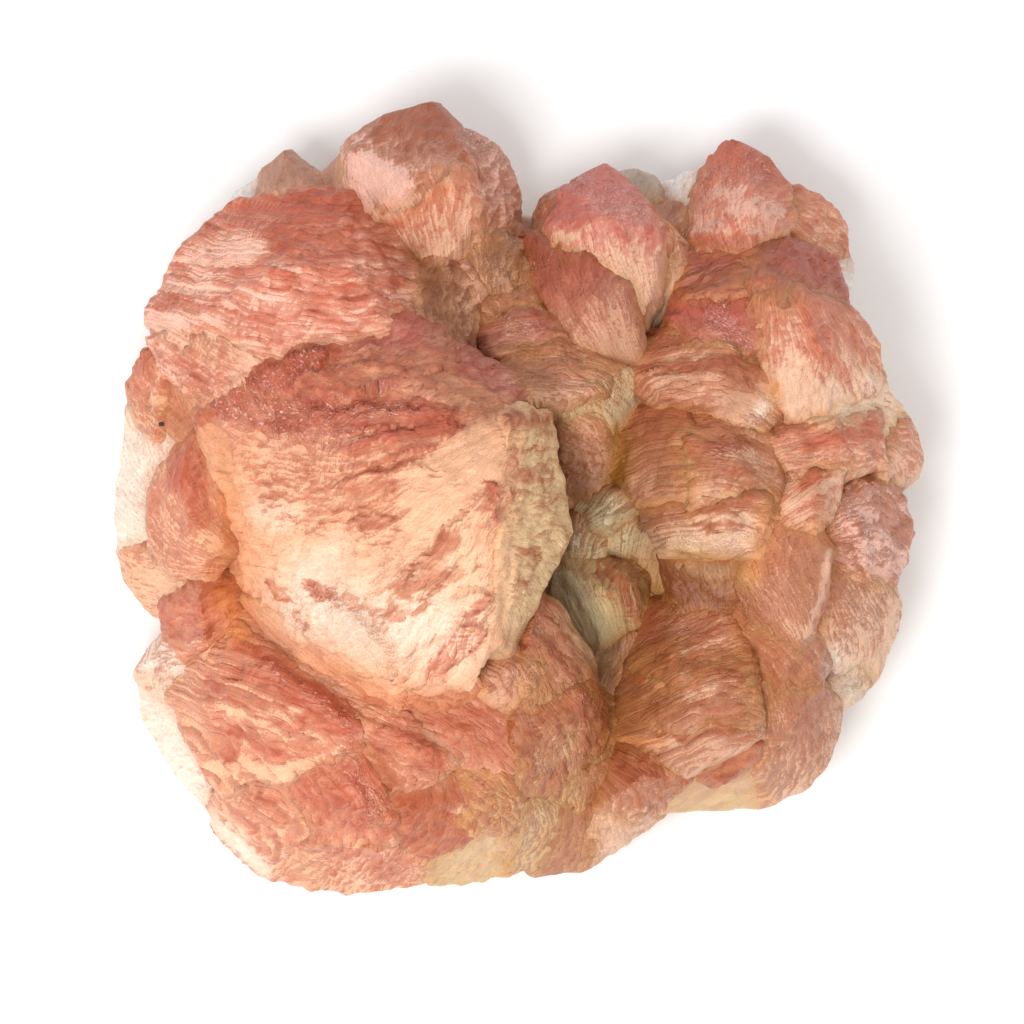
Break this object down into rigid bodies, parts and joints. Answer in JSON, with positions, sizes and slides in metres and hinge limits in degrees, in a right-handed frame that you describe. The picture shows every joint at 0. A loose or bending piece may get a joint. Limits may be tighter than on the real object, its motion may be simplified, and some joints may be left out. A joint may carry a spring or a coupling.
{
  "type": "stilbite crystal specimen",
  "caption": "Cluster of salmon-pink and cream sheaf-shaped stilbite crystals, cut flat at the back and lying on that face.",
  "frame": {"origin": "middle of the flat face where the specimen came off its rock, on that face", "axes": "+Z away from the rock, towards the crystals' faces; +Y the way the crystals' tips lean; +X completes the right-handed frame"},
  "size_m": [0.1001, 0.0976, 0.0497],
  "materials": {
    "stilbite": "satin crystal faces, cream with a thin salmon-pink coating"
  },
  "bodies": {
    "root": {"stilbite_cluster": "stilbite"}
  },
  "joints": []
}
